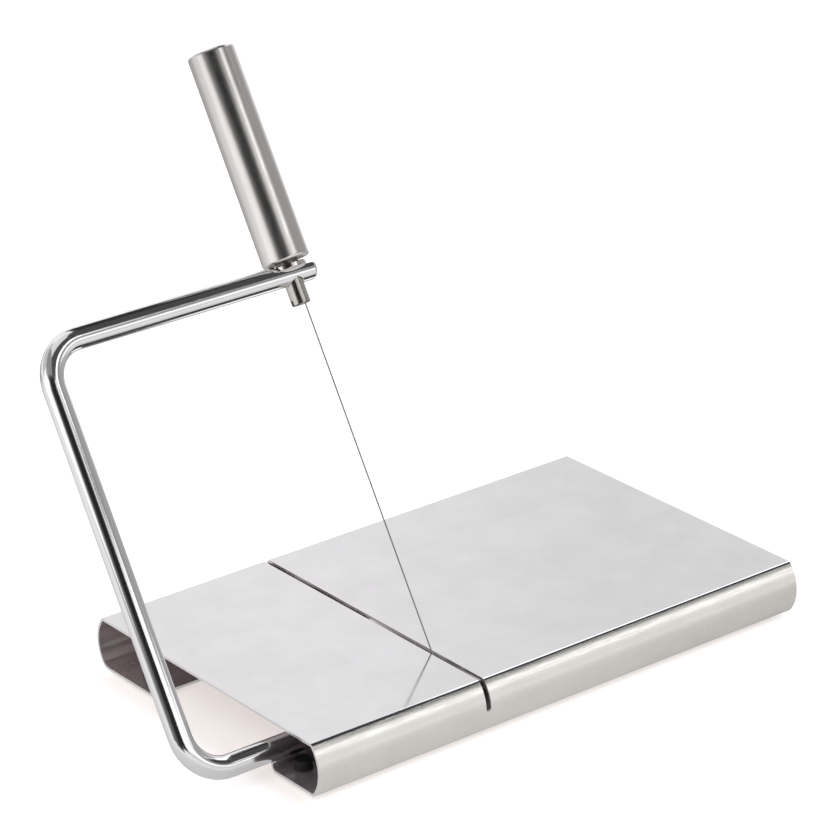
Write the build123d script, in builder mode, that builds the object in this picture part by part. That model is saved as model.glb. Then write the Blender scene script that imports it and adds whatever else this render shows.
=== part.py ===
from build123d import *
import os
from math import cos, radians, sin

# A wire slicing board for cheese and cold cuts. A bent steel sheet is the board, a polished rod is
# the arm that carries a taut cutting wire, and a round handle on the arm's tip tightens the wire.
# Millimetres. X runs along the board's long side, Y from its front to its back, Z is up.
# The origin is at the bottom centre of the box round the whole slicer, with the arm raised.

os.makedirs("parts", exist_ok=True)

# The board: one sheet, with a wide roll along the front and the back edge
board_length = 210.0
board_width = 124.0
board_height = 19.5
sheet = 1.0
roll_bulge = 3.9
crease_inner_r = 0.6
front_corner_inner_r = 0.6
back_corner_inner_r = 4.0
front_flange = 21.2
back_flange = 30.5
curl_r = 2.6
slot_width = 2.0

# The rubber feet, pushed into holes in the flanges
pad_r = 5.0
pad_height = 2.0
pad_edge_r = 0.5
neck_r = 2.0
plug_r = 3.1
plug_height = 3.8
plug_edge_r = 0.4
foot_inset = 8.3
foot_from_crease = 17.0

# The arm: a round rod bent twice, which turns in the front roll
rod_r = 4.0
bend_r = 14.0
pivot_back = 21.0
pivot_drop = 9.8
arm_reach = 32.2
arm_length = 149.0
arm_lean = 59.0
tip_length = 9.1
tip_edge_r = 1.6
tail_length = 4.5
cut_inset = 70.4
wire_slot_gap = 0.35

# The black nylon pieces that carry the rod inside the front roll
bearing_length = 10.0
bearing_top_gap = 0.3
bearing_to_wire = 6.4
outer_bearing_inset = 18.0
bearing_edge_r = 0.6
running_gap = 0.05
notch_margin = 1.0
fixed_gap = 0.02

# Countersunk screws through the front flange
screw_r = 1.25
screw_length = 6.0
screw_forward = 5.6
screw_slot_width = 0.6
screw_slot_depth = 0.45
screw_hole_gap = 0.1

# Washers and rings that hold the rod endways
thrust_washer_t = 0.5
thrust_washer_r = 6.0
side_gap = 0.15
ring_t = 0.7
ring_r = 5.2
ring_opening = 4.6
groove_depth = 0.6

# The cutting wire and its ends
wire_r = 0.25
wire_hole_r = 0.5
bead_r = 1.2
bead_length = 2.2
bead_gap = 0.3
barrel_r = 0.8
barrel_length = 3.0

# The tension pin in the arm's tip
pin_offset = 1.5
pin_r = 3.35
pin_below = 11.0
pin_fit = 0.25
pin_edge = 0.35
pin_slot_width = 1.0
pin_slot_depth = 2.0
pin_hole_r = 0.6
pin_hole_up = 3.7
pin_hole_turn = -33.0
barrel_up = 5.6
thread_r = 3.0
thread_length = 20.0
shoulder_gap = 0.25

# The washer and the handle
seat_height = 1.6
seat_margin = 0.5
washer_r = 6.4
washer_t = 1.6
washer_edge = 0.2
handle_r = 8.4
handle_length = 76.8
handle_wall = 1.6
handle_edge_r = 1.0
boss_r = 4.0
boss_height = 1.1
insert_length = 14.0
cap_length = 8.0
cap_edge = 0.3

# Places worked out from those sizes
lean = radians(arm_lean)
handle_start = seat_height + washer_t + running_gap + boss_height
handle_top = arm_length + handle_start + handle_length - handle_edge_r
handle_back = pivot_back + handle_top * cos(lean) + (handle_r - handle_edge_r) * sin(lean) + handle_edge_r
overall_depth = roll_bulge + max(handle_back, board_width + roll_bulge)
overall_length = rod_r + arm_reach + board_length
left_x = rod_r + arm_reach - overall_length / 2
right_x = left_x + board_length
leg_x = left_x - arm_reach
wire_x = left_x + cut_inset
pin_x = wire_x - pin_offset
front_y = roll_bulge - overall_depth / 2
back_y = front_y + board_width
pivot_y = front_y + pivot_back
base_z = pad_height
top_z = base_z + board_height
pivot_z = top_z - pivot_drop
flange_top = base_z + sheet
arm_axis = Vector(0, cos(lean), sin(lean))
arm_plane = Plane(origin=(0, pivot_y, pivot_z), x_dir=(1, 0, 0), z_dir=(0, -sin(lean), cos(lean)))


def axle_plane(x):
    """A plane across the pivot axis at x, with its local x along Y and its local y along Z."""
    return Plane(origin=(x, pivot_y, pivot_z), x_dir=(0, 1, 0), z_dir=(1, 0, 0))


def along_arm(x, height):
    """A plane across the arm's direction, at x and at a height along the arm above the pivot axis."""
    foot = Vector(x, pivot_y, pivot_z) + arm_axis * height
    return Plane(origin=foot, x_dir=(1, 0, 0), z_dir=arm_axis)


def tip_plane(height):
    """A plane across the tension pin, at a height above the centre of the arm's tip."""
    return along_arm(pin_x, arm_length + height)


def finish(builder, name, colour):
    builder.part.label = name
    builder.part.color = Color(*colour)
    export_step(builder.part, f"parts/{name}.step")
    print(f"{name:20s} {len(builder.part.solids())} solid(s), {builder.part.volume:10.1f} mm3")


steel = (0.72, 0.72, 0.73)
polished = (0.85, 0.85, 0.87)
nylon = (0.08, 0.08, 0.08)
nickel = (0.70, 0.67, 0.60)
rubber = (0.07, 0.07, 0.07)

# The stretches of the front roll where the curl is cut away for the bearings
outer_bearing_x = left_x + outer_bearing_inset
inner_bearing_x = wire_x - bearing_to_wire - bearing_length
stack = side_gap + thrust_washer_t + fixed_gap + ring_t
outer_notch = (outer_bearing_x - notch_margin, outer_bearing_x + bearing_length + notch_margin)
inner_notch = (inner_bearing_x - stack - notch_margin, wire_x + tail_length + notch_margin)
screw_y = pivot_y - screw_forward
screw_places = [(x + bearing_length / 2, screw_y) for x in (outer_bearing_x, inner_bearing_x)]
foot_places = {
    "foot_front_left": (left_x + foot_inset, front_y + foot_from_crease),
    "foot_front_right": (right_x - foot_inset, front_y + foot_from_crease),
    "foot_back_left": (left_x + foot_inset, back_y - foot_from_crease),
    "foot_back_right": (right_x - foot_inset, back_y - foot_from_crease),
}
slot_bottom = pivot_z - wire_r - wire_slot_gap

# The board, drawn as the outer line of the bent sheet and given its thickness inwards
front_crease = (front_y, top_z)
front_bottom = (front_y, base_z)
back_crease = (back_y, top_z)
back_bottom = (back_y, base_z)
curl_centre = (front_y + front_flange, base_z + curl_r)
corner_radii = {
    front_crease: crease_inner_r + sheet,
    back_crease: crease_inner_r + sheet,
    front_bottom: front_corner_inner_r + sheet,
    back_bottom: back_corner_inner_r + sheet,
}
with BuildPart() as board:
    with BuildSketch(Plane.YZ.offset(left_x)) as board_section:
        with BuildLine() as outline:
            CenterArc(curl_centre, curl_r, 90, -180)
            Line((front_y + front_flange, base_z), front_bottom)
            SagittaArc(front_bottom, front_crease, roll_bulge)
            Line(front_crease, back_crease)
            SagittaArc(back_crease, back_bottom, roll_bulge)
            Line(back_bottom, (back_y - back_flange, base_z))
            for corner, radius in corner_radii.items():
                fillet(outline.vertices().sort_by_distance((*corner, 0))[0], radius)
            offset(amount=sheet, side=Side.RIGHT)
        make_face()
    extrude(amount=board_length)
    with BuildSketch(Plane.XZ) as cut_slot:
        with Locations((wire_x, slot_bottom + slot_width / 2)):
            Circle(slot_width / 2)
            Rectangle(slot_width, board_height, align=(Align.CENTER, Align.MIN))
    extrude(amount=overall_depth, both=True, mode=Mode.SUBTRACT)
    for start, end in (outer_notch, inner_notch):
        with BuildSketch(Plane.XY.offset(base_z)):
            with Locations((start, front_y + front_flange)):
                Rectangle(end - start, 2 * curl_r, align=(Align.MIN, Align.MIN))
        extrude(amount=2 * curl_r, mode=Mode.SUBTRACT)
    with BuildSketch(Plane.XY.offset(base_z)):
        with Locations(*foot_places.values()):
            Circle(neck_r + fixed_gap)
    extrude(amount=sheet, mode=Mode.SUBTRACT)
    with Locations(*[Location((x, y, base_z)) for x, y in screw_places]):
        hole_r = screw_r + screw_hole_gap
        Cone(hole_r + sheet, hole_r, sheet, align=(Align.CENTER, Align.CENTER, Align.MIN), mode=Mode.SUBTRACT)

# The four feet: a pad under the flange, a neck through it and a plug above it
feet = {}
for foot_name, (x, y) in foot_places.items():
    with BuildPart() as foot:
        with Locations((x, y, 0)):
            Cylinder(pad_r, pad_height, align=(Align.CENTER, Align.CENTER, Align.MIN))
        fillet(foot.edges().group_by(Axis.Z)[0], pad_edge_r)
        with Locations((x, y, base_z)):
            Cylinder(neck_r, sheet, align=(Align.CENTER, Align.CENTER, Align.MIN))
        with Locations((x, y, flange_top)):
            Cylinder(plug_r, plug_height, align=(Align.CENTER, Align.CENTER, Align.MIN))
        fillet(foot.edges().group_by(Axis.Z)[-1], plug_edge_r)
    feet[foot_name] = foot

# The rod: the axle in the front roll, the long leg beside the board, and the tip that holds the pin
tail_x = wire_x + tail_length
tip_x = pin_x + tip_length
ring_places = [
    inner_bearing_x - side_gap - thrust_washer_t - fixed_gap - ring_t,
    inner_bearing_x + bearing_length + side_gap + thrust_washer_t + fixed_gap,
]
washer_places = [
    inner_bearing_x - side_gap - thrust_washer_t,
    inner_bearing_x + bearing_length + side_gap,
]
with BuildPart() as arm_rod:
    with BuildLine(arm_plane) as rod_path:
        FilletPolyline((tail_x, 0), (leg_x, 0), (leg_x, arm_length), (tip_x, arm_length), radius=bend_r)
    with BuildSketch(axle_plane(tail_x)):
        Circle(rod_r)
    sweep(path=rod_path.wires()[0])
    tip_end = arm_rod.faces().filter_by(Plane.YZ).sort_by(Axis.Z)[-1]
    fillet(tip_end.edges(), tip_edge_r)
    tail_end = arm_rod.faces().filter_by(Plane.YZ).sort_by(Axis.Z)[0]
    chamfer(tail_end.edges(), pin_edge)
    # The flat that the washer lies on, from a shoulder to the end of the tip
    with BuildSketch(tip_plane(seat_height)):
        with Locations((-washer_r - seat_margin, 0)):
            Rectangle(tip_length + washer_r + 2 * rod_r, 4 * rod_r, align=(Align.MIN, Align.CENTER))
    extrude(amount=2 * rod_r, mode=Mode.SUBTRACT)
    with BuildSketch(tip_plane(-2 * rod_r)):
        Circle(pin_r + pin_fit)
    extrude(amount=4 * rod_r, mode=Mode.SUBTRACT)
    # The wire's hole in the axle, and the seat of its bead on the far side
    with BuildSketch(along_arm(wire_x, 0)):
        Circle(wire_hole_r)
    extrude(amount=2 * rod_r, both=True, mode=Mode.SUBTRACT)
    with BuildSketch(along_arm(wire_x, bead_length - rod_r)):
        Circle(bead_r + bead_gap)
    extrude(amount=-2 * rod_r, mode=Mode.SUBTRACT)
    for x in ring_places:
        with BuildSketch(axle_plane(x - fixed_gap)):
            Circle(2 * rod_r)
            Circle(rod_r - groove_depth, mode=Mode.SUBTRACT)
        extrude(amount=ring_t + 2 * fixed_gap, mode=Mode.SUBTRACT)


def build_bearing(x):
    """A block that stands on the front flange under the top plate, bored for the rod."""
    bearing_r = pivot_drop - sheet - bearing_top_gap
    with BuildPart() as block:
        with BuildSketch(axle_plane(x)):
            Circle(bearing_r)
            Rectangle(2 * bearing_r, pivot_z - flange_top, align=(Align.CENTER, Align.MAX))
            Circle(rod_r + running_gap, mode=Mode.SUBTRACT)
        extrude(amount=bearing_length)
        fillet(block.edges().filter_by(Axis.X).group_by(Axis.Z)[0], bearing_edge_r)
        with Locations(Location((x + bearing_length / 2, screw_y, flange_top))):
            Cylinder(screw_r + fixed_gap, screw_length - sheet + fixed_gap,
                     align=(Align.CENTER, Align.CENTER, Align.MIN), mode=Mode.SUBTRACT)
    return block


bearing_outer = build_bearing(outer_bearing_x)
bearing_inner = build_bearing(inner_bearing_x)

# The two screws that hold the bearings, with slotted heads flush in the flange
with BuildPart() as bearing_screws:
    for x, y in screw_places:
        with BuildSketch(Plane.XY.offset(flange_top)):
            with Locations((x, y)):
                Circle(screw_r)
        extrude(amount=screw_length - sheet)
        with Locations(Location((x, y, base_z))):
            Cone(screw_r + sheet, screw_r, sheet, align=(Align.CENTER, Align.CENTER, Align.MIN))
        with BuildSketch(Plane.XY.offset(base_z)):
            with Locations((x, y)):
                Rectangle(2 * (screw_r + sheet), screw_slot_width)
        extrude(amount=screw_slot_depth, mode=Mode.SUBTRACT)

# Thin washers each side of the inner bearing, and the open rings outside them
with BuildPart() as thrust_washers:
    for x in washer_places:
        with BuildSketch(axle_plane(x)):
            Circle(thrust_washer_r)
            Circle(rod_r + running_gap, mode=Mode.SUBTRACT)
        extrude(amount=thrust_washer_t)

with BuildPart() as retaining_rings:
    for x in ring_places:
        with BuildSketch(axle_plane(x)):
            Circle(ring_r)
            Circle(rod_r - groove_depth + fixed_gap, mode=Mode.SUBTRACT)
            Rectangle(ring_opening, 2 * ring_r, align=(Align.CENTER, Align.MAX), mode=Mode.SUBTRACT)
        extrude(amount=ring_t)

# The wire, the bead crimped on its lower end and the barrel on its upper end
bead_bottom = -rod_r
barrel_height = arm_length - pin_below + barrel_up
with BuildPart() as cutting_wire:
    with BuildSketch(along_arm(wire_x, bead_bottom)):
        Circle(wire_r)
    extrude(amount=barrel_height - bead_bottom)

with BuildPart() as wire_bead:
    with BuildSketch(along_arm(wire_x, bead_bottom)):
        Circle(bead_r)
        Circle(wire_r + fixed_gap, mode=Mode.SUBTRACT)
    extrude(amount=bead_length - fixed_gap)

barrel_plane = Plane(origin=along_arm(wire_x, barrel_height).origin, x_dir=(1, 0, 0), z_dir=arm_plane.z_dir)
with BuildPart() as wire_barrel:
    with BuildSketch(barrel_plane):
        Circle(barrel_r)
    extrude(amount=barrel_length / 2, both=True)
    with BuildSketch(along_arm(wire_x, barrel_height + fixed_gap)):
        Circle(wire_r + fixed_gap)
    extrude(amount=-2 * barrel_r, mode=Mode.SUBTRACT)

# The tension pin: a shank through the rod, with a slot and a small hole at its lower end, and a thread
shank_top = seat_height + washer_t + running_gap - shoulder_gap
pin_hole_plane = Plane(
    origin=tip_plane(pin_hole_up - pin_below).origin,
    x_dir=arm_axis,
    z_dir=arm_plane.z_dir.rotate(Axis((0, 0, 0), arm_axis), pin_hole_turn),
)
with BuildPart() as tension_pin:
    with BuildSketch(tip_plane(-pin_below)):
        Circle(pin_r)
    extrude(amount=pin_below + shank_top)
    with BuildSketch(tip_plane(shank_top)):
        Circle(thread_r)
    extrude(amount=thread_length)
    chamfer(tension_pin.edges().filter_by(GeomType.CIRCLE).group_by(Axis.Z)[0], pin_edge)
    chamfer(tension_pin.edges().filter_by(GeomType.CIRCLE).group_by(Axis.Z)[-1], pin_edge)
    with BuildSketch(tip_plane(-pin_below)):
        Rectangle(4 * pin_r, pin_slot_width)
    extrude(amount=pin_slot_depth, mode=Mode.SUBTRACT)
    with BuildSketch(pin_hole_plane):
        Circle(pin_hole_r)
    extrude(amount=2 * pin_r, mode=Mode.SUBTRACT)
    # The barrel goes in from the back, and the wire comes down through a hole into the slot
    with BuildSketch(barrel_plane.offset(barrel_length / 2 + fixed_gap)):
        Circle(barrel_r + fixed_gap)
    extrude(amount=-barrel_length - 2 * pin_r, mode=Mode.SUBTRACT)
    with BuildSketch(along_arm(wire_x, arm_length - pin_below)):
        Circle(2 * wire_r)
    extrude(amount=barrel_up, mode=Mode.SUBTRACT)

with BuildPart() as handle_washer:
    with BuildSketch(tip_plane(seat_height)):
        Circle(washer_r)
        Circle(pin_r + pin_fit, mode=Mode.SUBTRACT)
    extrude(amount=washer_t)
    chamfer(handle_washer.edges().filter_by(GeomType.CIRCLE), washer_edge)

# The handle: a tube, with a threaded insert in its lower end and a plug in its top
bore_r = handle_r - handle_wall
with BuildPart() as handle_tube:
    with BuildSketch(tip_plane(handle_start)):
        Circle(handle_r)
        Circle(bore_r, mode=Mode.SUBTRACT)
    extrude(amount=handle_length)
    rims = handle_tube.edges().filter_by(GeomType.CIRCLE)
    fillet(rims.filter_by(lambda edge: edge.radius > bore_r + handle_wall / 2), handle_edge_r)

with BuildPart() as handle_insert:
    with BuildSketch(tip_plane(handle_start - boss_height)):
        Circle(boss_r)
    extrude(amount=boss_height)
    with BuildSketch(tip_plane(handle_start)):
        Circle(bore_r - fixed_gap)
    extrude(amount=insert_length)
    with BuildSketch(tip_plane(handle_start - boss_height)):
        Circle(thread_r + running_gap)
    extrude(amount=boss_height + insert_length, mode=Mode.SUBTRACT)

with BuildPart() as handle_end_plug:
    with BuildSketch(tip_plane(handle_start + handle_length - cap_length)):
        Circle(bore_r - fixed_gap)
    extrude(amount=cap_length)
    chamfer(handle_end_plug.edges().filter_by(GeomType.CIRCLE).group_by(Axis.Z)[-1], cap_edge)

finish(board, "board", steel)
for foot_name, foot in feet.items():
    finish(foot, foot_name, rubber)
finish(arm_rod, "arm_rod", polished)
finish(bearing_outer, "bearing_outer", nylon)
finish(bearing_inner, "bearing_inner", nylon)
finish(bearing_screws, "bearing_screws", steel)
finish(thrust_washers, "thrust_washers", nylon)
finish(retaining_rings, "retaining_rings", steel)
finish(cutting_wire, "cutting_wire", polished)
finish(wire_bead, "wire_bead", nickel)
finish(wire_barrel, "wire_barrel", nickel)
finish(tension_pin, "tension_pin", nickel)
finish(handle_washer, "handle_washer", polished)
finish(handle_tube, "handle_tube", steel)
finish(handle_insert, "handle_insert", steel)
finish(handle_end_plug, "handle_end_plug", steel)

print(f"pivot axis through y {pivot_y:.3f}, z {pivot_z:.3f}; arm direction {arm_axis}")
print(f"handle axis through x {pin_x:.3f}; wire plane x {wire_x:.3f}")
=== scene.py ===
# %% [markdown]
# # A wire slicer for cheese and cold cuts
# A bent steel sheet is the board, a polished rod is the arm that swings a taut wire down into the board's slot, and
# a round handle on the arm's tip tightens the wire. The CAD model gives every piece its place and size. This
# lesson gives the slicer its studio, its finishes and the small edges that a machine-made shape is missing.

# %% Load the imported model
from math import acos, cos, degrees, pi, radians, sin, sqrt, tan

import bmesh
import bpy
from mathutils import Matrix, Vector


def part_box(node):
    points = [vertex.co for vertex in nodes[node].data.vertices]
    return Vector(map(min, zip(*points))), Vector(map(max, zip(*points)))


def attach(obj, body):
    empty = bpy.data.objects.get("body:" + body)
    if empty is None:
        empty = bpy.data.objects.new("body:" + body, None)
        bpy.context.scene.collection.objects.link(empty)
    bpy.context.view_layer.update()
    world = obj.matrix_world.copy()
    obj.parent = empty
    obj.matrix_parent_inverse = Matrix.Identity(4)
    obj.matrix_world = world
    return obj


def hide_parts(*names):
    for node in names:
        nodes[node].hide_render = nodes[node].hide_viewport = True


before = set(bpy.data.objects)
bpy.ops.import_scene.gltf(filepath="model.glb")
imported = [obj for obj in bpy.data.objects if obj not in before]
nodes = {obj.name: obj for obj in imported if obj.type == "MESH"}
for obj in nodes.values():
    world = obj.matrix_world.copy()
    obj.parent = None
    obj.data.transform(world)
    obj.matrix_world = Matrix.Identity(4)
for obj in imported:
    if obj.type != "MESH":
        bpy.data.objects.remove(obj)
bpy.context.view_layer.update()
MM = 0.001

# %% [markdown]
# ## Three helpers for colours and nodes
# Colours are picked on a screen, so they are written as sRGB hex values, but Blender's shaders work with linear
# light. One function turns one into the other. A second one adds a shader node, sets its sockets and links others
# to it, so that a material reads as a short list of steps. A third one starts a material with an empty node tree.


# %% Turn a screen colour into linear light
def linear(hex_colour):
    """An sRGB hex colour as linear red, green, blue and an alpha of 1."""
    channels = [int(hex_colour[i:i + 2], 16) / 255 for i in (0, 2, 4)]
    return (*[c / 12.92 if c <= 0.04045 else ((c + 0.055) / 1.055) ** 2.4 for c in channels], 1.0)


print("mid grey 808080 is", round(linear("808080")[0], 3), "in linear light")


# %% Add a node, and start a material
def add_node(tree, kind, settings=None, links=None, **attributes):
    """Add a node of a kind, set its attributes and the values of its sockets, and link other nodes' outputs to it."""
    made = tree.nodes.new(kind)
    for name, value in attributes.items():
        setattr(made, name, value)
    for socket, value in (settings or {}).items():
        made.inputs[socket].default_value = value
    for socket, output in (links or {}).items():
        tree.links.new(output, made.inputs[socket])
    return made


def empty_material(name):
    """A new material with nothing in its node tree."""
    made = bpy.data.materials.new(name)
    made.use_nodes = True
    made.node_tree.nodes.clear()
    return made


print("helpers:", linear.__name__, add_node.__name__, empty_material.__name__)

# %% [markdown]
# ## The camera
# The photograph was taken from the front left and a little above. A camera could be turned by hand until the picture
# fits, but here it was found by matching points of the object, so its direction, its small tilt and its long lens
# are numbers. It looks at a point that is tied to the middle of the board's underside, so it follows the board if
# the sizes change.

# %% Where the camera stands
CAMERA_TURN = radians(36.784)
CAMERA_RISE = radians(23.211)
CAMERA_ROLL = radians(-2.0)
CAMERA_DISTANCE = 1.371713
AIM_FROM_BOARD = Vector((0.011949, 0.029323, 0.071451))

board_low, board_high = [Vector(corner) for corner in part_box("board")]
board_foot = Vector(((board_low.x + board_high.x) / 2, (board_low.y + board_high.y) / 2, board_low.z))
aim = board_foot + AIM_FROM_BOARD
to_camera = Vector((-sin(CAMERA_TURN) * cos(CAMERA_RISE), -cos(CAMERA_TURN) * cos(CAMERA_RISE), sin(CAMERA_RISE)))
print("the camera looks at", [round(v, 3) for v in aim])

# %% Make the camera
LENS = 166.277
SENSOR_WIDTH = 36.0
PICTURE_PIXELS = 840

level_right = Vector((cos(CAMERA_TURN), -sin(CAMERA_TURN), 0))
level_up = to_camera.cross(level_right)
camera_right = level_right * cos(CAMERA_ROLL) + level_up * sin(CAMERA_ROLL)
camera_up = level_up * cos(CAMERA_ROLL) - level_right * sin(CAMERA_ROLL)

camera_data = bpy.data.cameras.new("photo_camera")
camera_data.lens = LENS
camera_data.sensor_width = SENSOR_WIDTH
camera = bpy.data.objects.new("photo_camera", camera_data)
bpy.context.scene.collection.objects.link(camera)
rotation = Matrix((camera_right, camera_up, to_camera)).transposed().to_4x4()
camera.matrix_world = Matrix.Translation(aim + to_camera * CAMERA_DISTANCE) @ rotation
bpy.context.scene.camera = camera
bpy.context.scene.view_settings.view_transform = "Standard"
PIXEL = CAMERA_DISTANCE * SENSOR_WIDTH / LENS / PICTURE_PIXELS
print("camera made, one pixel of the picture covers", round(PIXEL / MM, 2), "mm at the slicer")

# %% [markdown]
# ## The studio
# Polished steel has hardly any colour of its own: what the eye reads as steel is the room, bent round the metal. So
# the room comes before the metal. A picture of a real studio could be wrapped round the scene, but a few planes and
# a white world need no file, and each one can be moved until its band sits where the photograph has it. The world
# comes first. It is plain white for the camera and for reflections, and dimmer where it only gives soft light, so
# that the ground stays white while the shadows keep their shape.

# %% White world
LIGHT_FOR_THE_EYE = 1.0
SOFT_LIGHT = 0.62

world = bpy.data.worlds.new("studio_world")
world.use_nodes = True
bpy.context.scene.world = world
sky = world.node_tree
sky.nodes.clear()
path = add_node(sky, "ShaderNodeLightPath")
looked_at = add_node(sky, "ShaderNodeMath", operation="MAXIMUM",
                     links={0: path.outputs["Is Camera Ray"], 1: path.outputs["Is Glossy Ray"]})
looked_at = add_node(sky, "ShaderNodeMath", operation="MAXIMUM",
                     links={0: looked_at.outputs[0], 1: path.outputs["Is Transmission Ray"]})
strength = add_node(sky, "ShaderNodeMapRange", {"To Min": SOFT_LIGHT, "To Max": LIGHT_FOR_THE_EYE},
                    {"Value": looked_at.outputs[0]})
background = add_node(sky, "ShaderNodeBackground", {"Color": linear("FFFFFF")}, {"Strength": strength.outputs[0]})
add_node(sky, "ShaderNodeOutputWorld", links={"Surface": background.outputs[0]})
print("world:", LIGHT_FOR_THE_EYE, "for the eye and for reflections,", SOFT_LIGHT, "for soft light")

# %% [markdown]
# ### Cards
# For a picture of metalware, white softboxes and grey or black cards are stood round it, and each one shows as a
# bright or a dark band in the polish. Area lamps could be the bright ones, but they would also light the floor, and
# a lamp can't be dark. So every card here is a plane that glows just as strongly as it needs to. Only reflections
# see it: it throws neither light nor shadow on the floor, and the camera looks through it, so it may even stand
# before the lens.


# %% A paint that glows
def glow_across(name, shades):
    """A paint that glows, with a brightness that changes across a card.

    shades are pairs of a place across the card, from 0 to 1, and the brightness there. A ramp's colours end at
    white, so the brightest one is the strength of the glow and the ramp holds the shares of it."""
    paint = empty_material(name)
    tree = paint.node_tree
    across = add_node(tree, "ShaderNodeSeparateXYZ", links={0: add_node(tree, "ShaderNodeUVMap").outputs[0]})
    ramp = add_node(tree, "ShaderNodeValToRGB", links={"Fac": across.outputs["X"]})
    ramp.color_ramp.interpolation = "EASE"
    brightest = max(shade for place, shade in shades)
    for place, shade in shades[1:-1]:
        ramp.color_ramp.elements.new(place)
    for stop, (place, shade) in zip(ramp.color_ramp.elements, shades):
        stop.position = place
        stop.color = (shade / brightest,) * 3 + (1,)
    glow = add_node(tree, "ShaderNodeEmission", {"Strength": brightest}, {"Color": ramp.outputs[0]})
    add_node(tree, "ShaderNodeOutputMaterial", links={"Surface": glow.outputs[0]})
    return paint


print("a card's brightness may change across it, in soft steps")


# %% A card that only reflections see
def card(name, centre, facing, width, height, shades):
    """A flat card that only reflections see, with its middle at centre and its face turned towards a point."""
    bpy.ops.object.select_all(action="DESELECT")
    bpy.ops.mesh.primitive_plane_add(size=1)
    made = bpy.context.active_object
    made.name = name
    normal = (Vector(facing) - Vector(centre)).normalized()
    turn = normal.to_track_quat("Z", "Y").to_matrix().to_4x4()
    made.data.transform(Matrix.Translation(centre) @ turn @ Matrix.Diagonal((width, height, 1, 1)))
    made.data.materials.append(glow_across(name + "_paint", shades))
    made.visible_camera = False
    made.visible_diffuse = False
    made.visible_shadow = False
    return made


print("a card is hidden from the camera, from soft light and from shadows")

# %% Upright cards, placed by direction
MIDDLE = Vector((0, 0, 0.08))


def standing_card(name, azimuth, distance, across, heights, shades):
    """An upright card that faces the slicer from an azimuth in degrees, where 0 is +X and 90 is +Y.

    across runs sideways towards the larger azimuth, and shades run from there back to the smaller one."""
    turn = radians(azimuth)
    outwards, sideways = Vector((cos(turn), sin(turn), 0)), Vector((-sin(turn), cos(turn), 0))
    centre = outwards * distance + sideways * sum(across) / 2 + Vector((0, 0, sum(heights) / 2))
    return card(name, centre, centre - outwards, across[1] - across[0], heights[1] - heights[0], shades)


def wall_card(name, azimuths, elevations, distance, shades):
    """A far upright card that covers a range of azimuths and elevations, seen from the slicer's middle."""
    heights = [MIDDLE.z + distance * tan(radians(e)) for e in elevations]
    half = distance * tan(radians(azimuths[1] - azimuths[0]) / 2)
    return standing_card(name, sum(azimuths) / 2, distance, (-half, half), heights, shades)


print("walls are measured from", [round(v, 3) for v in MIDDLE])

# %% [markdown]
# ### The far cards: the darker room
# A real studio is dark behind its lights, and without that the slicer would look like white plastic. The ceiling
# cards give the dark line beside each crease and the dark sides of the arm and the handle. The walls give the greys
# between. They are far away, so their place in the polish hardly changes along a piece. One stands behind on the
# left, because seen from the front right the plate would else mirror the white world and vanish in the white floor.

# %% Ceiling and walls
card("left_ceiling_card", (-2.3, -0.35, 2.6), (-2.3, -0.35, 0), 2.6, 5.1, ((0, 0.3), (1, 0.3)))
card("front_ceiling_card", (1.35, -1.3, 2.6), (1.35, -1.3, 0), 4.7, 3.2, ((0, 0.06), (1, 0.08)))
card("right_ceiling_card", (2.3, 1.7, 2.6), (2.3, 1.7, 0), 2.8, 2.8, ((0, 0.03), (1, 0.03)))
card("overhead_card", (-0.2, 0.3, 2.0), (-0.2, 0.3, 0), 1.2, 1.2, ((0, 0.8), (1, 0.8)))
card("crease_strip", (0.45, 0.21, 0.5), (0.45, 0.21, 0), 0.35, 0.50, ((0, 1.7), (1, 1.7)))
wall_card("photographer_card", (-160, -96), (-2, 46), 2.2, ((0, 0.2), (0.25, 0.02), (0.65, 0.02), (1, 0.15)))
wall_card("left_wall_card", (-205, -160), (-6, 40), 2.4, ((0, 0.1), (0.5, 0.45), (0.85, 0.85), (1, 0.9)))
wall_card("front_wall_card", (-96, -30), (-1, 36), 2.6, ((0, 0.36), (1, 0.24)))
wall_card("right_wall_card", (-30, 40), (-1, 32), 2.6, ((0, 0.4), (1, 0.4)))
wall_card("back_left_card", (100, 156), (15, 55), 2.4, ((0, 0.6), (1, 0.6)))

# %% [markdown]
# ### The near cards: softboxes and sweeps
# These are the bright shapes close to the slicer. The one behind is what the flat top mirrors towards the camera, so
# it makes the plate nearly white, a little greyer to the left. The ones in front give the roll its broad bright
# band, which ends where a softbox ends. The one on the left lights the arm's bends, and a narrow strip high up draws
# the line of light down the handle. Values over 1 are brighter than white paper, as a lamp is.

# %% Softboxes and sweeps
standing_card("left_softbox", 180, 0.37, (-0.15, 0.11), (0.09, 0.30), ((0, 0.25), (0.25, 1.2), (1, 1.2)))
standing_card("front_softbox", -77, 0.5, (-0.36, 0.05), (0.17, 0.41), ((0, 1.2), (1, 1.2)))
standing_card("roll_softbox", -77, 0.5, (0.05, 0.42), (0.145, 0.29), ((0, 1.17), (1, 1.2)))
standing_card("front_sweep", -77, 0.5, (-0.8, 0.42), (0.0, 0.145), ((0, 0.75), (0.3, 0.78), (1, 1.0)))
standing_card("handle_strip", -77, 1.0, (0.07, 0.36), (0.79, 1.15), ((0, 1.9), (1, 1.9)))
standing_card("back_sweep", 53, 0.35, (-0.235, 0.19), (0.03, 0.38), ((0, 1.0), (0.3, 1.0), (0.75, 0.87), (1, 0.87)))

# %% [markdown]
# ### Lamps
# Cards alone leave whatever isn't polished in the dark: the floor, the black plastic and the dull inside of the
# rolls. A sun would light them but draw one hard shadow. Three large square lamps do it as softboxes do, with a
# wide, faint shadow. They are hidden from reflections, because the cards already say what the polish shows.


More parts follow.
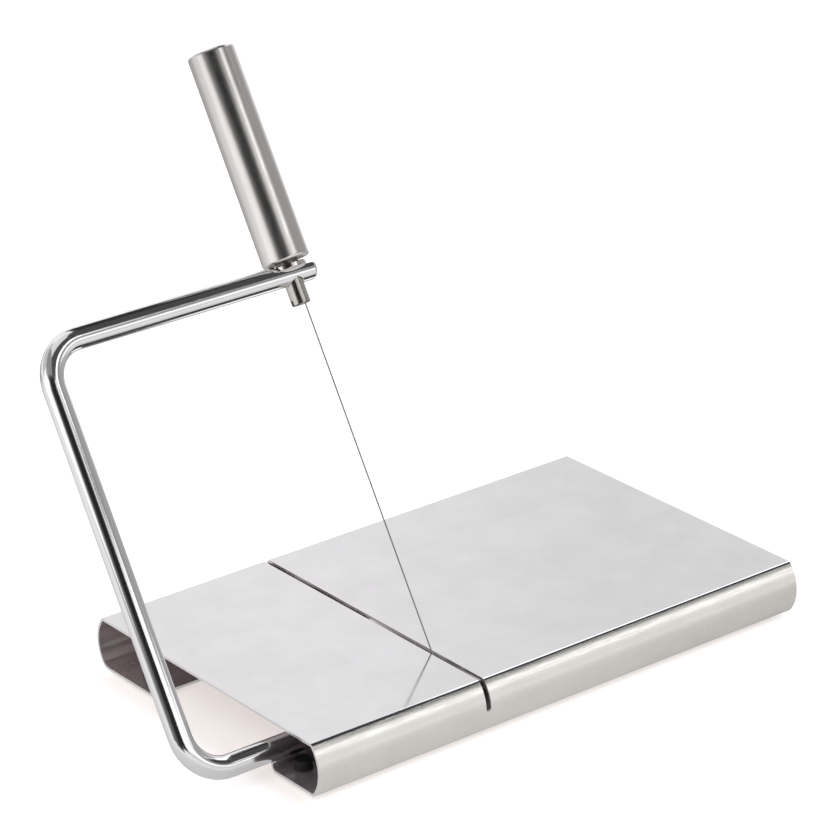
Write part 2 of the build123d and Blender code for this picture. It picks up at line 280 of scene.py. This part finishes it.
# %% Soft lamps
def lamp(name, place, size, watts):
    """A square softbox that lights the slicer but doesn't show in its polish."""
    data = bpy.data.lights.new(name, "AREA")
    data.size = size
    data.energy = watts
    made = bpy.data.objects.new(name, data)
    made.location = place
    made.rotation_euler = (Vector(place) - MIDDLE).to_track_quat("Z", "Y").to_euler()
    made.visible_glossy = False
    bpy.context.scene.collection.objects.link(made)
    return made


lamp("softbox_left", (-1.3, -0.9, 1.5), 1.2, 14)
lamp("softbox_right", (1.2, -1.0, 1.3), 1.2, 8)
lamp("softbox_low_left", (-0.75, 0.05, 0.25), 0.5, 1)

# %% [markdown]
# ### The floor
# The slicer lies on white paper that is as bright as the background, with a faint shadow and a painted warm shade
# under the board. Paper that only lamps light would need so much light that the steel washed out. So this paper
# takes the shadows and also glows a little by itself, and less where the board covers it: a painted shadow.
# Reflections see another paper with painted shade, darker near the board and towards the back right, because the
# rolls' lower halves mirror just that part and are grey in the photograph. Soft light sees plain white paper.

# %% Lay the floor
FLOOR_WIDTH = 14

bpy.ops.object.select_all(action="DESELECT")
bpy.ops.mesh.primitive_plane_add(size=FLOOR_WIDTH)
floor = bpy.context.active_object
floor.name = "studio_floor"
floor_paper = empty_material("floor_paper")
floor.data.materials.append(floor_paper)
print("floor:", FLOOR_WIDTH, "m wide")

# %% How far a spot of the floor is from the board
tree = floor_paper.node_tree
board_half = (board_high - board_low) / 2
spot = add_node(tree, "ShaderNodeTexCoord")


def distance_outside(more_left):
    """How far a spot of the floor is outside the board's outline, made longer on the left by more_left."""
    from_middle = add_node(tree, "ShaderNodeVectorMath", {1: (board_foot.x - more_left / 2, board_foot.y, 0)},
                           {0: spot.outputs["Object"]}, operation="SUBTRACT")
    from_middle = add_node(tree, "ShaderNodeVectorMath", links={0: from_middle.outputs[0]}, operation="ABSOLUTE")
    past_edge = add_node(tree, "ShaderNodeVectorMath", {1: (board_half.x + more_left / 2, board_half.y, 0)},
                         {0: from_middle.outputs[0]}, operation="SUBTRACT")
    sides = add_node(tree, "ShaderNodeSeparateXYZ", links={0: past_edge.outputs[0]})
    return add_node(tree, "ShaderNodeMath", links={0: sides.outputs["X"], 1: sides.outputs["Y"]}, operation="MAXIMUM")


# The painted warm shade under the board reaches out on the left, to where the arm leaves the roll.
ARM_SIDE = 11 * MM
outside = distance_outside(0)
outside_arm = distance_outside(ARM_SIDE)
print("the board covers", [round(2 * v / MM, 1) for v in board_half[:2]], "mm of the floor")

# %% Where the paper glows, and where painted shade darkens and warms it
# A distance outside the outline is negative under the board: the glow sinks from 30 to 50 mm in, as a painted shadow.
SHADOW_GLOW_FROM, SHADOW_GLOW_TO = -30 * MM, -50 * MM
PAINTED_SHADOW_GLOW = 0.12
# From 1 to 9 mm inside the outline the glow turns to the painted warm shade.
WARM_SHADE_FROM, WARM_SHADE_TO = -1 * MM, -9 * MM

open_light = add_node(tree, "ShaderNodeMapRange", {"From Min": SHADOW_GLOW_TO, "From Max": SHADOW_GLOW_FROM,
                                                   "To Min": PAINTED_SHADOW_GLOW, "To Max": 1.0},
                      {"Value": outside.outputs[0]})
painted_warm_shade_mask = add_node(tree, "ShaderNodeMapRange", {"From Min": WARM_SHADE_TO, "From Max": WARM_SHADE_FROM,
                                                    "To Min": 1, "To Max": 0}, {"Value": outside_arm.outputs[0]})
print("under the middle of the board the paper glows", PAINTED_SHADOW_GLOW, "times as much as in the open")

# %% How the light falls off in the mirrored paper
NEAR_EDGE, NEAR_END, NEAR_GLOW = 20 * MM, 160 * MM, 0.62
# Towards the back right is where X and Y both grow, so their sum says how far a spot lies that way.
SIDE_EDGE, SIDE_END, SIDE_GLOW = -50 * MM, 300 * MM, 0.35

across_floor = add_node(tree, "ShaderNodeSeparateXYZ", links={0: spot.outputs["Object"]})
away = add_node(tree, "ShaderNodeMath", links={0: across_floor.outputs["X"], 1: across_floor.outputs["Y"]})
side_light = add_node(tree, "ShaderNodeMapRange", {"From Min": SIDE_EDGE, "From Max": SIDE_END,
                                                   "To Min": 1.0, "To Max": SIDE_GLOW}, {"Value": away.outputs[0]})
near_light = add_node(tree, "ShaderNodeMapRange", {"From Min": NEAR_EDGE, "From Max": NEAR_END,
                                                   "To Min": NEAR_GLOW, "To Max": 1.0}, {"Value": outside.outputs[0]})
mirrored_light = add_node(tree, "ShaderNodeMath", links={0: open_light.outputs[0], 1: side_light.outputs[0]},
                          operation="MULTIPLY")
mirrored_light = add_node(tree, "ShaderNodeMath", links={0: mirrored_light.outputs[0], 1: near_light.outputs[0]},
                          operation="MULTIPLY")
print("mirrored paper:", NEAR_GLOW, "beside the board,", SIDE_GLOW, "far to the back right")


# %% Three papers in one
def glowing_paper(lit_colour, glow_colour, shaded_colour, glow_strength):
    """Paper that takes shadows and also glows a little, in another colour under the board, which paints shade."""
    lit = add_node(tree, "ShaderNodeBsdfDiffuse", {"Color": linear(lit_colour)})
    colour = add_node(tree, "ShaderNodeMixRGB", {"Color1": linear(glow_colour), "Color2": linear(shaded_colour)},
                      {"Fac": painted_warm_shade_mask.outputs[0]})
    glow = add_node(tree, "ShaderNodeEmission", links={"Color": colour.outputs[0],
                                                       "Strength": glow_strength.outputs[0]})
    return add_node(tree, "ShaderNodeAddShader", links={0: lit.outputs[0], 1: glow.outputs[0]})


# A glowing paper's colours: what the lamps light, what glows in the open, and the painted shade under the board.
path = add_node(tree, "ShaderNodeLightPath")
plain = add_node(tree, "ShaderNodeBsdfDiffuse", {"Color": linear("EAE7E6")})
# Under the board the paper that the camera sees glows C3BBB8, darker and warmer: painted shade.
seen = glowing_paper("CECDCC", "D4D3D3", "C3BBB8", open_light)
# The paper that reflections see is darker than the one the camera sees, and darkest near the board: painted shade.
mirrored = glowing_paper("959393", "CBCAC9", "CBCAC9", mirrored_light)
paper = add_node(tree, "ShaderNodeMixShader", links={0: path.outputs["Is Camera Ray"], 1: plain.outputs[0],
                                                      2: seen.outputs[0]})
paper = add_node(tree, "ShaderNodeMixShader", links={0: path.outputs["Is Glossy Ray"], 1: paper.outputs[0],
                                                      2: mirrored.outputs[0]})
add_node(tree, "ShaderNodeOutputMaterial", links={"Surface": paper.outputs[0]})
print("floor paper:", len(tree.nodes), "nodes")

# %% [markdown]
# ## Steel and its finishes
# All the bare metal here is stainless or spring steel, and one piece differs from the next by what was done to its
# surface. Rolling, brushing and drawing leave scratches that run one way, so a reflection is smeared across them. A
# photograph of scratches could be laid on, but noise that is stretched along the scratches needs no file and has no
# seams. It changes the roughness and raises a very low bump. A broad, faint cloud adds the mottling of rolled sheet.
#
# Real scratches are as wide as a grain of the grit, 0.02 to 0.05 mm. One pixel of the picture covers 0.35 mm, so
# they wouldn't show at all. The streaks below are drawn about ten times as coarse, one pixel wide or a little more.

# %% Which way the arm's scratches run
ARM_LEAN = radians(59)
ARM_DIRECTION = (0, cos(ARM_LEAN), sin(ARM_LEAN))
ARM_TILT = pi / 2 - ARM_LEAN
print("the arm leans", round(degrees(ARM_LEAN), 1), "degrees up from the board")

# %% Streaks and clouds
NOISE_LOW, NOISE_HIGH = 0.3, 0.7
CLOUD_LOW, CLOUD_HIGH = 0.35, 0.65
CLOUD_SIZE = 18 * MM


def streaks_on(tree, streak_mm, stretch, along):
    """Noise in streaks of streak_mm that run along X, or along the arm, and are stretch times as long."""
    place = add_node(tree, "ShaderNodeTexCoord")
    turned = add_node(tree, "ShaderNodeMapping", {"Rotation": (0 if along == "X" else ARM_TILT, 0, 0)},
                      {"Vector": place.outputs["Object"]})
    scale = [1 / (streak_mm * MM)] * 3
    scale[0 if along == "X" else 2] /= stretch
    squeezed = add_node(tree, "ShaderNodeMapping", {"Scale": scale}, {"Vector": turned.outputs[0]})
    return add_node(tree, "ShaderNodeTexNoise", {"Scale": 1.0, "Detail": 2.0, "Roughness": 0.6},
                    {"Vector": squeezed.outputs[0]})


def clouded(tree, colour, mottle):
    """A colour with a broad, faint cloud in it, darker by the share mottle where the cloud is thickest."""
    place = add_node(tree, "ShaderNodeTexCoord")
    cloud = add_node(tree, "ShaderNodeTexNoise", {"Scale": 1 / CLOUD_SIZE, "Detail": 4.0, "Roughness": 0.6},
                     {"Vector": place.outputs["Object"]})
    base = linear(colour)
    worn = tuple(c * (1 - mottle) for c in base[:3]) + (1,)
    tone = add_node(tree, "ShaderNodeMapRange", {"From Min": CLOUD_LOW, "From Max": CLOUD_HIGH},
                    {"Value": cloud.outputs[0]})
    return add_node(tree, "ShaderNodeMixRGB", {"Color1": worn, "Color2": base}, {"Fac": tone.outputs[0]})


print("noise is mostly between", NOISE_LOW, "and", NOISE_HIGH, "and a cloud is", round(CLOUD_SIZE / MM), "mm across")

# %% Steel recipe
QUARTER_TURN = 0.25


def steel(name, colour, roughness, spread, streak_mm, stretch, bump_mm,
          mottle=0.03, along="X", brushed=0.0, metal=1.0):
    """Bare steel: streaks of streak_mm spread the roughness and raise a bump of bump_mm.

    The streaks run along X, or along the arm, and are stretch times as long as they are wide. brushed, from 0 to 1,
    is how much more a reflection is smeared across the streaks than along them: the tangent lies along them, and a
    quarter turn points the smear across. metal below 1 leaves a dull skin that scatters a little light."""
    made = empty_material(name)
    tree = made.node_tree
    streaks = streaks_on(tree, streak_mm, stretch, along)
    rough = add_node(tree, "ShaderNodeMapRange", {"From Min": NOISE_LOW, "From Max": NOISE_HIGH,
                                                  "To Min": roughness - spread, "To Max": roughness + spread},
                     {"Value": streaks.outputs[0]})
    bump = add_node(tree, "ShaderNodeBump", {"Strength": 1.0, "Distance": bump_mm * MM},
                    {"Height": streaks.outputs[0]})
    shader = add_node(tree, "ShaderNodeBsdfPrincipled",
                      {"Metallic": metal, "Anisotropic": brushed, "Anisotropic Rotation": QUARTER_TURN},
                      {"Base Color": clouded(tree, colour, mottle).outputs[0], "Roughness": rough.outputs[0],
                       "Normal": bump.outputs[0]})
    if brushed:
        lines = (1, 0, 0) if along == "X" else ARM_DIRECTION
        tangent = add_node(tree, "ShaderNodeVectorTransform", {"Vector": lines}, vector_type="VECTOR",
                           convert_from="OBJECT", convert_to="WORLD")
        tree.links.new(tangent.outputs[0], shader.inputs["Tangent"])
    add_node(tree, "ShaderNodeOutputMaterial", links={"Surface": shader.outputs[0]})
    return made


print("the steel recipe is", steel.__name__)

# %% The board's four finishes
# Stainless sheet as the mill's polished rolls leave it: nearly a mirror, with soft clouds in its grey.
plate_steel = steel("rolled_stainless_sheet", "E3E1E3", 0.09, 0.02, 0.5, 60, 0.001, mottle=0.06)
# The same sheet after a fine belt along the roll: a broad, satin band of light with fine lines along it.
roll_steel = steel("brushed_stainless_roll", "F5F3EE", 0.20, 0.09, 0.4, 24, 0.004, mottle=0.05, brushed=0.5)
# The side that nobody polished: greyer, dull, a little rosy, with the mill's own wide rolling marks, at real size.
mill_steel = steel("mill_finished_stainless_sheet", "E4D9DB", 0.25, 0.03, 2.5, 60, 0.0015, mottle=0.06, metal=0.86)
# Where the shears went through and a file took the burr off: a thin, pale, grainy line.
cut_steel = steel("sheared_stainless_edge", "F2F2F2", 0.22, 0.04, 0.3, 4, 0.001, metal=0.85)
print("board:", [m.name for m in (plate_steel, roll_steel, mill_steel, cut_steel)])

# %% The arm's and the handle's finishes
# Drawn bar, buffed: black and white lines with hardly a blur, which run round the bends.
rod_steel = steel("mirror_polished_rod", "EDEDEE", 0.12, 0.03, 0.4, 20, 0.0005)
# Tube, brushed along its length: the room is smeared into soft bands that run up the handle.
handle_steel = steel("brushed_stainless_tube", "E1DEDC", 0.22, 0.04, 0.35, 24, 0.0025, along="arm", brushed=0.7)
# Stamped, tumbled and polished: a soft shine, with hardly any grain.
washer_steel = steel("polished_washer", "E2DEDC", 0.14, 0.03, 0.6, 3, 0.001)
# Turned, then plated with nickel: slightly warm beside the bare steel.
pin_nickel = steel("turned_nickel_pin", "CDC9C2", 0.20, 0.04, 0.6, 3, 0.001)
# Turned on a lathe and left bare: a duller grey. It sits deep in shade in the gap under the handle,
# and its darker grey is painted shade.
shaded_insert_steel = steel("turned_steel_insert_painted_shade", "8F8A86", 0.34, 0.04, 0.6, 3, 0.001)
# Hard drawn wire: a mid grey thread that never shines.
wire_steel = steel("drawn_spring_wire", "A8A8A8", 0.25, 0.03, 0.6, 3, 0.001)
# Screws and rings from a box, out of sight: an even, plain grey.
fastener_steel = steel("plain_fastener_steel", "CCCCCC", 0.25, 0.05, 0.6, 3, 0.001)
print("arm:", [m.name for m in (rod_steel, handle_steel, washer_steel, pin_nickel, shaded_insert_steel, wire_steel,
                                fastener_steel)])

# %% [markdown]
# ## Black plastic and rubber
# The bearings, their washers and the feet are black mouldings that show only as small dark shapes under the board.
# Plain black would look like a hole. A mould has a fine grain, which it leaves in the surface, and a round noise in
# the bump and in the roughness gives that. Real grain is about 0.1 mm wide, so it is drawn several times as coarse.

# %% Moulded plastic and rubber
GRAIN_DEPTH = 0.02 * MM
GRAIN_SPREAD = 0.08
PLASTIC_IOR = 1.52


def moulded(name, colour, roughness, grain_mm):
    """Black moulded plastic or rubber with a fine grain."""
    made = empty_material(name)
    tree = made.node_tree
    place = add_node(tree, "ShaderNodeTexCoord")
    grain = add_node(tree, "ShaderNodeTexNoise", {"Scale": 1 / (grain_mm * MM), "Detail": 3.0},
                     {"Vector": place.outputs["Object"]})
    bump = add_node(tree, "ShaderNodeBump", {"Strength": 1.0, "Distance": GRAIN_DEPTH}, {"Height": grain.outputs[0]})
    rough = add_node(tree, "ShaderNodeMapRange", {"To Min": roughness - GRAIN_SPREAD,
                                                  "To Max": roughness + GRAIN_SPREAD}, {"Value": grain.outputs[0]})
    shader = add_node(tree, "ShaderNodeBsdfPrincipled", {"Base Color": linear(colour), "IOR": PLASTIC_IOR},
                      {"Roughness": rough.outputs[0], "Normal": bump.outputs[0]})
    add_node(tree, "ShaderNodeOutputMaterial", links={"Surface": shader.outputs[0]})
    return made


# Moulded nylon: black with a soft, greasy shine.
bearing_nylon = moulded("moulded_black_nylon", "1A1A1A", 0.45, 0.6)
# Moulded rubber: a duller black, and a coarser grain.
foot_rubber = moulded("moulded_black_rubber", "141615", 0.6, 0.8)
print("mouldings:", bearing_nylon.name, foot_rubber.name)

# %% [markdown]
# ## The board
# The real board starts as one flat blank. A press brake folds the wide roll along its front and its back, and a
# smaller tool curls the hem inside the front. It could be a solid with its inside cut away, but it is made here as
# it is in the workshop: a flat plane whose edge is spun round each bend in turn, then given its thickness. So each
# surface is one smooth strip, and the outside, the inside and the cut edges can each have their own finish.

# %% Sizes of the sheet, as in the CAD model
# The thickness, how far a roll bulges, the radii of the corners and of the hem, and the widths of the two flanges.
SHEET = 1.0 * MM
BULGE = 3.9 * MM
CREASE_R = 1.6 * MM
BACK_BOTTOM_R = 5.0 * MM
FRONT_FLANGE = 21.2 * MM
BACK_FLANGE = 30.5 * MM
CURL_R = 2.6 * MM

base_z, top_z = board_low.z, board_high.z
front_y, back_y = board_low.y + BULGE, board_high.y - BULGE
left_x, right_x = board_low.x, board_high.x
mid_z, middle_y = (base_z + top_z) / 2, (front_y + back_y) / 2
half_height = (top_z - base_z) / 2
roll_r = (half_height ** 2 + BULGE ** 2) / (2 * BULGE)
roll_in = roll_r - BULGE
print("each roll is part of a cylinder with a radius of", round(roll_r / MM, 2), "mm")


# %% Where each corner meets its roll
def corner_turn(radius):
    """How far the roll has turned, in degrees, where a corner of this radius meets it."""
    return degrees(acos(sqrt((roll_r - radius) ** 2 - (half_height - radius) ** 2) / (roll_r - radius)))


crease_turn = corner_turn(CREASE_R)
back_bottom_turn = corner_turn(BACK_BOTTOM_R)
crease_in = roll_in - (roll_r - CREASE_R) * cos(radians(crease_turn))
back_bottom_in = roll_in - (roll_r - BACK_BOTTOM_R) * cos(radians(back_bottom_turn))
print("the roll turns", round(2 * crease_turn, 1), "degrees from crease to crease")


# %% Select by a test, and bend a selected edge
def select(piece, kind, test):
    """In edit mode, select only the vertices, edges or faces (kind) that pass a test."""
    mesh = bmesh.from_edit_mesh(piece.data)
    for group in (mesh.verts, mesh.edges, mesh.faces):
        for item in group:
            item.select_set(False)
    for item in getattr(mesh, kind):
        if test(item):
            item.select_set(True)
    bmesh.update_edit_mesh(piece.data)


def bend(centre_y, centre_z, degrees_turned, steps, way):
    """Spin the selected edge round a bend. way is 1 for the front of the board and -1 for its back."""
    bpy.ops.mesh.spin(steps=steps, angle=radians(degrees_turned), center=(0, centre_y, centre_z), axis=(-way, 0, 0))


CORNER_STEPS, ROLL_STEPS, CURL_STEPS = 8, 32, 20
print("steps round a corner, a roll and the hem:", CORNER_STEPS, ROLL_STEPS, CURL_STEPS)

# %% Start from the flat top
bpy.ops.object.select_all(action="DESELECT")
bpy.ops.mesh.primitive_plane_add(size=1)
sheet_piece = bpy.context.active_object
sheet_piece.name = "board_sheet"
flat_front, flat_back = front_y + crease_in, back_y - crease_in
blank = Matrix.Translation(((left_x + right_x) / 2, (flat_front + flat_back) / 2, top_z))
sheet_piece.data.transform(blank @ Matrix.Diagonal((right_x - left_x, flat_back - flat_front, 1, 1)))
print("flat top:", round((right_x - left_x) / MM, 1), "by", round((flat_back - flat_front) / MM, 1), "mm")

# %% Fold the rolls, the flanges and the hem
bpy.ops.object.mode_set(mode="EDIT")
for way, edge_y, bottom_r, bottom_turn, bottom_in, flange in (
        (1, front_y, CREASE_R, crease_turn, crease_in, FRONT_FLANGE),
        (-1, back_y, BACK_BOTTOM_R, back_bottom_turn, back_bottom_in, BACK_FLANGE)):
    select(sheet_piece, "edges", lambda e: all((v.co.y - middle_y) * way < 0 for v in e.verts))
    bend(edge_y + way * crease_in, top_z - CREASE_R, 90 - crease_turn, CORNER_STEPS, way)
    bend(edge_y + way * roll_in, mid_z, crease_turn + bottom_turn, ROLL_STEPS, way)
    bend(edge_y + way * bottom_in, base_z + bottom_r, 90 - bottom_turn, CORNER_STEPS, way)
    bpy.ops.mesh.extrude_region_move(TRANSFORM_OT_translate={"value": (0, way * (flange - bottom_in), 0)})
    if way == 1:
        bend(edge_y + flange, base_z + CURL_R, 180, CURL_STEPS, way)
bpy.ops.object.mode_set(mode="OBJECT")
print("folded sheet:", len(sheet_piece.data.polygons), "faces")

# %% Close the seams and turn the faces outwards
SAME_PLACE = 0.001 * MM

bpy.ops.object.mode_set(mode="EDIT")
bpy.ops.mesh.select_all(action="SELECT")
bpy.ops.mesh.remove_doubles(threshold=SAME_PLACE)
bpy.ops.mesh.normals_make_consistent(inside=False)
bpy.ops.object.mode_set(mode="OBJECT")
top_face = max(sheet_piece.data.polygons, key=lambda p: p.area)
if top_face.normal.z < 0:
    sheet_piece.data.flip_normals()
print("lowest point of the sheet:", round(min(v.co.z for v in sheet_piece.data.vertices) / MM, 2), "mm")

# %% [markdown]
# ### Thickness and finishes of the faces
# One steel sheet has three kinds of surface: the outside that the buyer sees, the inside that nobody polished, and
# the thin cut edge between them. Thickness could be extruded by hand, but Solidify keeps it even round every bend,
# and it can move the new faces to other material slots: by 1 for the inner faces and by 2 for the cut ones. So the
# plate's slot 0 becomes 1 inside and 2 on its cut edges, and the roll's slot 3 becomes 4 and 5.

# %% Slots for the faces
PLATE, CUT, ROLL = 0, 2, 3
INNER_FURTHER, CUT_FURTHER = 1, 2

for finish in (plate_steel, mill_steel, cut_steel, roll_steel, mill_steel, cut_steel):
    sheet_piece.data.materials.append(finish)
# The round crease at the top still counts as the plate: a roll begins where the crease meets it.
for face in sheet_piece.data.polygons:
    face.material_index = ROLL if face.normal.z < sin(radians(crease_turn)) else PLATE
print("faces of the rolls and flanges:", len([f for f in sheet_piece.data.polygons if f.material_index == ROLL]))


# %% Give the sheet its thickness
def apply_all(piece):
    """Apply the modifiers of a piece in their order."""
    bpy.ops.object.select_all(action="DESELECT")
    bpy.context.view_layer.objects.active = piece
    piece.select_set(True)
    for name in [modifier.name for modifier in piece.modifiers]:
        bpy.ops.object.modifier_apply(modifier=name)


# An offset of -1 puts all the thickness inside, so the outside keeps the CAD model's size.
solid = sheet_piece.modifiers.new("thickness", "SOLIDIFY")
solid.thickness = SHEET
solid.offset = -1
solid.use_even_offset = True
solid.material_offset = INNER_FURTHER
solid.material_offset_rim = CUT_FURTHER
apply_all(sheet_piece)
print("thick sheet:", len(sheet_piece.data.polygons), "faces")

# %% [markdown]
# ### Slot, gaps and holes
# The wire drops into a slot that is cut across the board and ends half way down each roll with a round bottom. In
# the hem there are two gaps, where the outer bearing and the rod's end need room, and the flanges have holes for
# feet and screws. Each opening could be drawn into the blank before it is bent, but a hole crosses many strips of
# faces. A Boolean with a cutter of the hole's shape, as a punch works, is simpler on a closed shell and leaves a
# clean cut wall, which takes the finish of a cut edge.


# %% Punch and cutter
def punch(piece, cutter):
    """Cut a closed shape out of a piece. The new faces get the finish of a cut edge."""
    for finish in piece.data.materials:
        cutter.data.materials.append(finish)
    for face in cutter.data.polygons:
        face.material_index = CUT
    cut = piece.modifiers.new("cut", "BOOLEAN")
    cut.operation = "DIFFERENCE"
    cut.solver = "EXACT"
    cut.object = cutter
    apply_all(piece)
    bpy.data.objects.remove(cutter)


def block(low, high):
    """A plain block between two corners, used as a cutter."""
    bpy.ops.object.select_all(action="DESELECT")
    bpy.ops.mesh.primitive_cube_add(size=1)
    made = bpy.context.active_object
    low, high = Vector(low), Vector(high)
    made.data.transform(Matrix.Translation((low + high) / 2) @ Matrix.Diagonal((*(high - low), 1)))
    return made


print("a punched wall is", sheet_piece.data.materials[CUT].name)

# %% The slot for the wire
SLOT_WIDTH = 2.0 * MM
SLOT_BELOW_TOP = 10.4 * MM
CUTTER_REACH, CUTTER_TOP = 10 * MM, 50 * MM
CLOSE = 0.5 * MM
# A bevel of half the width would make two corners one, so it stops just short of that.
ROUND_SHARE, ROUND_STEPS = 0.999, 8

wire_low, wire_high = [Vector(corner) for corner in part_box("cutting_wire")]
wire_x = (wire_low.x + wire_high.x) / 2
slot_bottom = top_z - SLOT_BELOW_TOP
slot_cutter = block((wire_x - SLOT_WIDTH / 2, board_low.y - CUTTER_REACH, slot_bottom),
                    (wire_x + SLOT_WIDTH / 2, board_high.y + CUTTER_REACH, CUTTER_TOP))
bpy.ops.object.mode_set(mode="EDIT")
select(slot_cutter, "edges", lambda e: all(v.co.z < slot_bottom + CLOSE for v in e.verts)
       and abs(e.verts[0].co.x - e.verts[1].co.x) < CLOSE)
bpy.ops.mesh.bevel(offset=SLOT_WIDTH / 2 * ROUND_SHARE, segments=ROUND_STEPS, affect="EDGES")
bpy.ops.object.mode_set(mode="OBJECT")
punch(sheet_piece, slot_cutter)
print("slot:", round((wire_x - left_x) / MM, 1), "mm from the left end,", len(sheet_piece.data.polygons), "faces")

# %% The gaps in the hem
GAP_MARGIN = 1.0 * MM
ROD_PAST_WIRE = 4.5 * MM
# A gap starts just before the hem does, so that no thin step is left for the retaining ring to touch.
BEFORE_HEM = 0.1 * MM
PAST_SHEET = 1.0 * MM

outer_low, outer_high = [Vector(corner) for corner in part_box("bearing_outer")]
rings_low = Vector(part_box("retaining_rings")[0])
hem_y = front_y + FRONT_FLANGE
for start, end in ((outer_low.x, outer_high.x), (rings_low.x, wire_x + ROD_PAST_WIRE)):
    gap_low = (start - GAP_MARGIN, hem_y - BEFORE_HEM, base_z - PAST_SHEET)
    gap_high = (end + GAP_MARGIN, hem_y + 2 * CURL_R, base_z + 2 * CURL_R + PAST_SHEET)
    punch(sheet_piece, block(gap_low, gap_high))
    print("gap in the hem:", round((end - start + 2 * GAP_MARGIN) / MM, 1), "mm wide")

# %% Holes for the feet
# A hair wider than the neck of a foot, so that the two don't touch.
NECK_HOLE_R = 2.02 * MM
ROUND_SIDES = 32

for foot in ("foot_front_left", "foot_front_right", "foot_back_left", "foot_back_right"):
    low, high = [Vector(corner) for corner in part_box(foot)]
    bpy.ops.object.select_all(action="DESELECT")
    bpy.ops.mesh.primitive_cylinder_add(vertices=ROUND_SIDES, radius=NECK_HOLE_R, depth=4 * SHEET,
                                        location=((low.x + high.x) / 2, (low.y + high.y) / 2, base_z))
    hole_cutter = bpy.context.active_object
    bpy.ops.object.transform_apply()
    punch(sheet_piece, hole_cutter)
print("with holes for the feet:", len(sheet_piece.data.polygons), "faces")

# %% Countersunk holes for the screws
# The cone is as steep as a screw's head, 45 degrees, and has the hole's radius at the sheet's inner side.
SCREW_HOLE_R = 1.35 * MM

screws_low, screws_high = [Vector(corner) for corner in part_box("bearing_screws")]
screw_y = (screws_low.y + screws_high.y) / 2
for bearing in ("bearing_outer", "bearing_inner"):
    low, high = [Vector(corner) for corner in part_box(bearing)]
    bpy.ops.object.select_all(action="DESELECT")
    bpy.ops.mesh.primitive_cone_add(vertices=ROUND_SIDES, radius1=SCREW_HOLE_R + 2 * SHEET,
                                    radius2=SCREW_HOLE_R - SHEET, depth=3 * SHEET,
                                    location=((low.x + high.x) / 2, screw_y, base_z + SHEET / 2))
    hole_cutter = bpy.context.active_object
    bpy.ops.object.transform_apply()
    punch(sheet_piece, hole_cutter)
print("after punching:", len(sheet_piece.data.polygons), "faces")

# %% [markdown]
# ### Broken edges and shading
# A file or a tumbler takes the burr off every cut edge, so a real edge is never quite sharp, and it is this fine
# line of light that tells the eye how thin the steel is. The edges could be picked one by one, but a Bevel by angle
# finds them all. Two segments are enough for a break of 0.12 mm. Smooth shading then rounds the bends for the eye,
# and weighted normals keep the big flat faces flat, because on polished steel the smallest slope shows as a dent.

# %% Break the edges
EDGE_BREAK = 0.12 * MM
BREAK_STEPS = 2
SHARP_ANGLE = radians(40)

edge_break = sheet_piece.modifiers.new("edge_break", "BEVEL")
edge_break.width = EDGE_BREAK
edge_break.segments = BREAK_STEPS
edge_break.limit_method = "ANGLE"
edge_break.angle_limit = SHARP_ANGLE
edge_break.use_clamp_overlap = True
apply_all(sheet_piece)
print("with broken edges:", len(sheet_piece.data.polygons), "faces")

# %% Shade the bends smooth and keep the flats flat
SMOOTH_ANGLE = radians(30)
# A weight of 50 counts all faces alike, and 100 lets the big ones decide.
BIG_FACES_DECIDE = 100

bpy.ops.object.shade_smooth_by_angle(angle=SMOOTH_ANGLE)
flat_shading = sheet_piece.modifiers.new("flat_faces_stay_flat", "WEIGHTED_NORMAL")
flat_shading.keep_sharp = True
flat_shading.weight = BIG_FACES_DECIDE
apply_all(sheet_piece)
print("smooth up to", round(degrees(SMOOTH_ANGLE)), "degrees")

# %% The sheet takes the CAD board's place
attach(sheet_piece, "board")
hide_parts("board")
print("board:", len(sheet_piece.data.polygons), "faces")

# %% [markdown]
# ## A finish for every other piece
# The rod, the handle, the pin, the wire and all the small parts already have their real shape in the CAD model, so
# only their grey stand-in finish has to go. It could be changed by hand on each piece, but a table from the piece's
# name to its finish shows at a glance what is made of what. The CAD's own board, which is now hidden, is in it too.

# %% Give each node its material
finishes = {
    "board": plate_steel, "arm_rod": rod_steel, "handle_tube": handle_steel, "handle_insert": shaded_insert_steel,
    "handle_end_plug": handle_steel, "handle_washer": washer_steel, "tension_pin": pin_nickel,
    "wire_bead": pin_nickel, "wire_barrel": pin_nickel, "cutting_wire": wire_steel,
    "bearing_screws": fastener_steel, "retaining_rings": fastener_steel, "bearing_outer": bearing_nylon,
    "bearing_inner": bearing_nylon, "thrust_washers": bearing_nylon, "foot_front_left": foot_rubber,
    "foot_front_right": foot_rubber, "foot_back_left": foot_rubber, "foot_back_right": foot_rubber,
}
for node_name, finish in finishes.items():
    for slot in nodes[node_name].material_slots:
        slot.material = finish
print("finishes given to", len(finishes), "of", len(nodes), "nodes")
